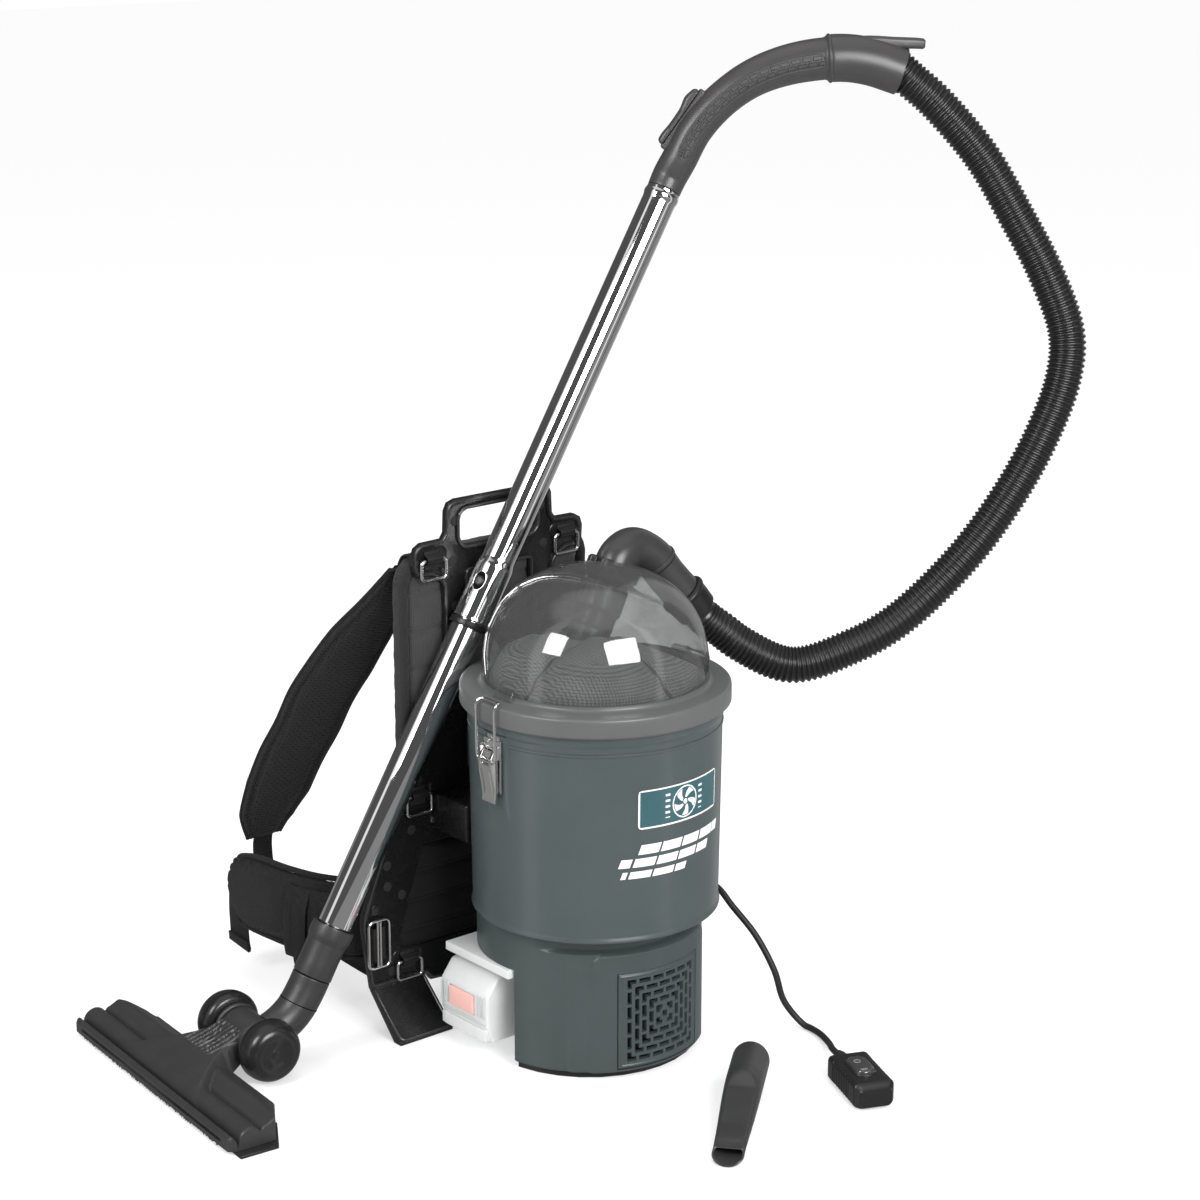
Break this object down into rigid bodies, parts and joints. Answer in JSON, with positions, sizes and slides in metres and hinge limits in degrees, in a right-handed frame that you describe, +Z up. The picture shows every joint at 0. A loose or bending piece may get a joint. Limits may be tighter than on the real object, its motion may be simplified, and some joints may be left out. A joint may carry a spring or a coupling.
{
  "type": "backpack vacuum cleaner",
  "caption": "Backpack vacuum cleaner: clear-lidded canister with latches, padded harness frame, hose, chrome wand with swivel floor nozzle, switch lead, battery bay and loose crevice tool",
  "frame": {"origin": "on the floor plane, on the canister's centre line, at the bottom face of the base cover", "axes": "+Z up along the canister's axis; +Y from the canister towards the harness and the wearer's back, so the wearer stands on the +Y side and faces +Y; +X to the wearer's right, the side the hose leaves the lid"},
  "size_m": [0.9534, 0.7716, 1.009],
  "materials": {
    "shell": "grey-green moulded plastic with a soft gloss",
    "clear": "smoked clear plastic, polished",
    "inlet": "dark moulded plastic",
    "rim": "dark grey semi-gloss",
    "filter": "woven dark grey filter cloth",
    "foam": "open-cell foam",
    "dark": "black moulded plastic, fine texture",
    "motor": "die-cast motor casing",
    "impeller": "spun aluminium",
    "badge": "printed plate, satin",
    "stripe": "printed white bars",
    "pale": "pale grey translucent plastic",
    "pale_red": "pale red plastic",
    "steel": "bright plated steel",
    "plate": "black satin moulded plastic",
    "pad": "charcoal woven padding",
    "strap": "black spacer mesh and webbing",
    "lead": "black rubber sheath",
    "grip": "dark grey satin plastic",
    "chrome": "polished chrome plating on steel tube",
    "hose": "gloss black corrugated plastic",
    "nozzle": "dark grey fine-grained plastic",
    "bristle": "stiff black bristle"
  },
  "bodies": {
    "unit": {"canister_body": "shell", "base_housing": "shell", "exhaust_grille": "shell", "base_cover": "dark", "motor_body": "motor", "fan_shroud": "dark", "motor_filter": "foam", "badge_icon": "badge", "badge_stripes": "stripe", "battery_adapter": "pale", "latch_base_L": "steel", "latch_base_R": "steel", "harness_plate": "plate", "frame_bracket": "plate", "back_pad": "pad", "lumbar_pad": "pad", "strap_L": "strap", "strap_R": "strap", "triglide_L": "steel", "triglide_R": "steel", "power_cable": "lead", "switch_housing": "dark"},
    "fan": {"fan_impeller": "impeller"},
    "lid": {"dome_lid": "clear", "inlet_tube": "inlet"},
    "filter": {"filter_ring": "rim", "filter_bag": "filter"},
    "lever_L": {"latch_lever_L": "steel"},
    "lever_R": {"latch_lever_R": "steel"},
    "bail_L": {"latch_bail_L": "steel"},
    "bail_R": {"latch_bail_R": "steel"},
    "elbow": {"elbow": "grip", "elbow_collar": "inlet", "hose_cuff": "inlet"},
    "wand": {"hose": "hose", "grip_handle": "grip", "wand_upper": "chrome", "wand_ring": "inlet", "wand_lower": "chrome", "neck_collar": "nozzle"},
    "slider": {"air_slider": "grip"},
    "button": {"wand_button": "dark"},
    "neck": {"neck_elbow": "nozzle"},
    "nozzle": {"nozzle_body": "nozzle", "sole_plate": "dark", "brush_strip": "bristle"},
    "wheel_front": {"wheel_front": "nozzle"},
    "wheel_rear": {"wheel_rear": "nozzle"},
    "battery": {"battery_pack": "pale"},
    "battery_release": {"battery_latch": "pale_red"},
    "rocker": {"switch_rocker": "dark"},
    "belt_L": {"belt_L": "pad"},
    "belt_R": {"belt_R": "pad"},
    "loop_top_L": {"loop_top_L": "steel"},
    "loop_top_R": {"loop_top_R": "steel"},
    "loop_mid_L": {"loop_mid_L": "steel"},
    "loop_mid_R": {"loop_mid_R": "steel"},
    "loop_low_L": {"loop_low_L": "steel"},
    "loop_low_R": {"loop_low_R": "steel"},
    "crevice": {"crevice_tool": "nozzle"}
  },
  "joints": [
    {"name": "lid_lift", "type": "slide", "parent": "unit", "child": "lid", "axis": [0, 0, 1], "range_m": [0, 0.04]},
    {"name": "latch_lever_R", "type": "hinge", "parent": "unit", "child": "lever_R", "pos_m": [0.136, 0, 0.34], "axis": [0, -1, 0], "range_deg": [0, 111]},
    {"name": "latch_lever_L", "type": "hinge", "parent": "unit", "child": "lever_L", "pos_m": [-0.136, 0, 0.34], "axis": [0, 1, 0], "range_deg": [0, 111]},
    {"name": "latch_bail_R", "type": "hinge", "parent": "lever_R", "child": "bail_R", "pos_m": [0.14, 0, 0.332], "axis": [0, -1, 0], "range_deg": [-240, 0]},
    {"name": "latch_bail_L", "type": "hinge", "parent": "lever_L", "child": "bail_L", "pos_m": [-0.14, 0, 0.332], "axis": [0, 1, 0], "range_deg": [-240, 0]},
    {"name": "filter_lift", "type": "slide", "parent": "unit", "child": "filter", "axis": [0, 0, 1], "range_m": [0, 0.0185]},
    {"name": "elbow_swivel", "type": "hinge", "parent": "lid", "child": "elbow", "pos_m": [0.0372, 0.0445, 0.4374], "axis": [0.4683, 0, 0.8836], "range_deg": [-20, 20]},
    {"name": "wand_stay", "type": "hinge", "parent": "elbow", "child": "wand", "pos_m": [0.0372, 0.0445, 0.4374], "axis": [0.4683, 0, 0.8836], "range_deg": [-20, 20], "deforming": ["hose"]},
    {"name": "air_slide", "type": "slide", "parent": "wand", "child": "slider", "axis": [0.461, -0.344, 0.818], "range_m": [0, 0.012]},
    {"name": "section_button", "type": "slide", "parent": "wand", "child": "button", "axis": [0.8091, 0.394, -0.436], "range_m": [0, 0.002], "stiffness_N_per_m": 400},
    {"name": "neck_swivel", "type": "hinge", "parent": "wand", "child": "neck", "pos_m": [-0.2497, 0.1525, 0.0843], "axis": [0.4916, -0.0487, 0.8694], "range_deg": [-25, 25]},
    {"name": "nozzle_tilt", "type": "hinge", "parent": "neck", "child": "nozzle", "pos_m": [-0.3175, 0.1541, 0.032], "axis": [0.09, 0.9959, 0], "range_deg": [-20, 20]},
    {"name": "wheel_front_spin", "type": "hinge", "parent": "nozzle", "child": "wheel_front", "pos_m": [-0.3175, 0.1541, 0.032], "axis": [0.09, 0.9959, 0], "continuous": true},
    {"name": "wheel_rear_spin", "type": "hinge", "parent": "nozzle", "child": "wheel_rear", "pos_m": [-0.3175, 0.1541, 0.032], "axis": [0.09, 0.9959, 0], "continuous": true},
    {"name": "fan_spin", "type": "hinge", "parent": "unit", "child": "fan", "pos_m": [0, 0, 0.11], "axis": [0, 0, 1], "continuous": true},
    {"name": "battery_slide", "type": "slide", "parent": "unit", "child": "battery", "axis": [-1, 0, 0], "range_m": [0, 0.09]},
    {"name": "battery_latch", "type": "slide", "parent": "battery", "child": "battery_release", "axis": [1, 0, 0], "range_m": [0, 0.003], "stiffness_N_per_m": 400},
    {"name": "rocker_switch", "type": "hinge", "parent": "unit", "child": "rocker", "pos_m": [0.11403, -0.27353, 0.024], "axis": [-0.9182, 0.3961, 0], "range_deg": [-7, 7]},
    {"name": "belt_wing_L", "type": "hinge", "parent": "unit", "child": "belt_L", "pos_m": [-0.152, 0.178, 0.115], "axis": [0, 0, 1], "range_deg": [-5, 25], "stiffness_Nm_per_rad": 0.5},
    {"name": "belt_wing_R", "type": "hinge", "parent": "unit", "child": "belt_R", "pos_m": [0.152, 0.178, 0.115], "axis": [0, 0, -1], "range_deg": [-5, 25], "stiffness_Nm_per_rad": 0.5},
    {"name": "loop_top_L", "type": "hinge", "parent": "unit", "child": "loop_top_L", "pos_m": [-0.087, 0.1514, 0.495], "axis": [-1, 0, 0], "range_deg": [0, 20]},
    {"name": "loop_top_R", "type": "hinge", "parent": "unit", "child": "loop_top_R", "pos_m": [0.087, 0.1514, 0.495], "axis": [-1, 0, 0], "range_deg": [0, 20]},
    {"name": "loop_mid_L", "type": "hinge", "parent": "unit", "child": "loop_mid_L", "pos_m": [-0.1105, 0.1514, 0.247], "axis": [-1, 0, 0], "range_deg": [0, 60]},
    {"name": "loop_mid_R", "type": "hinge", "parent": "unit", "child": "loop_mid_R", "pos_m": [0.1105, 0.1514, 0.247], "axis": [-1, 0, 0], "range_deg": [0, 60]},
    {"name": "loop_low_L", "type": "hinge", "parent": "unit", "child": "loop_low_L", "pos_m": [-0.127, 0.1514, 0.0695], "axis": [-1, 0, 0], "range_deg": [0, 60]},
    {"name": "loop_low_R", "type": "hinge", "parent": "unit", "child": "loop_low_R", "pos_m": [0.127, 0.1514, 0.0695], "axis": [-1, 0, 0], "range_deg": [0, 60]},
    {"name": "crevice_lift", "type": "slide", "parent": "unit", "child": "crevice", "axis": [0, 0, 1], "range_m": [0, 0.05]}
  ],
  "couplings": [
    {"joint": "latch_lever_R", "follows": "lid_lift", "rad_per_m": 47.996},
    {"joint": "latch_lever_L", "follows": "lid_lift", "rad_per_m": 47.996},
    {"joint": "latch_bail_R", "follows": "lid_lift", "rad_per_m": -104},
    {"joint": "latch_bail_L", "follows": "lid_lift", "rad_per_m": -104},
    {"joint": "filter_lift", "follows": "lid_lift", "ratio": 0.45},
    {"joint": "wand_stay", "follows": "elbow_swivel", "ratio": -1}
  ]
}
